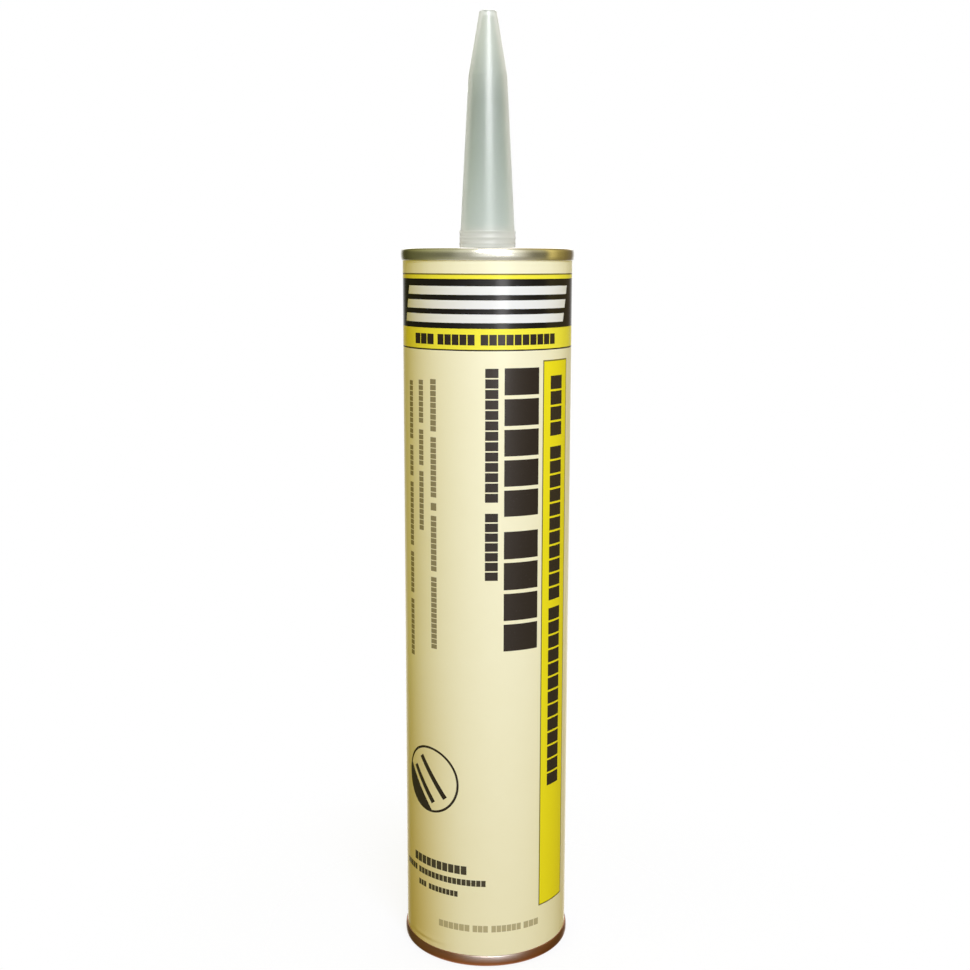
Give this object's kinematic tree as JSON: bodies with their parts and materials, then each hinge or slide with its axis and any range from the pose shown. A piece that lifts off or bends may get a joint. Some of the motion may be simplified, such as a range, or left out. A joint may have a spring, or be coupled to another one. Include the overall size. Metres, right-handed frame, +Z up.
{
  "type": "construction adhesive cartridge",
  "caption": "Fibreboard gun cartridge of construction adhesive with a paper label, crimped tinplate rims, a long tapered plastic nozzle and a sliding plunger in its open rear.",
  "frame": {"origin": "centre of the rear ring's foot, on the surface that the cartridge stands on", "axes": "+Z up the axis to the nozzle, -Y towards the label's front, +X to the right of a viewer who faces the front"},
  "size_m": [0.0512, 0.0512, 0.2815],
  "materials": {
    "fibreboard": "matt wound paperboard, foil lined",
    "label_paper": "semi-gloss printed paper",
    "tinplate": "bright tinplate",
    "nozzle_plastic": "natural translucent polyethylene",
    "seal_foil": "bright foil",
    "adhesive_paste": "wet paste",
    "plunger_plastic": "satin moulded polyethylene"
  },
  "bodies": {
    "barrel": {"tube": "fibreboard", "label": "label_paper", "top_end": "tinplate", "nozzle": "nozzle_plastic", "inner_seal": "seal_foil", "adhesive": "adhesive_paste", "rear_ring": "tinplate"},
    "plunger": {"plunger": "plunger_plastic"}
  },
  "joints": [
    {"name": "plunger_slide", "type": "slide", "parent": "barrel", "child": "plunger", "axis": [0, 0, 1], "range_m": [0, 0.18], "deforming": ["adhesive"]}
  ]
}
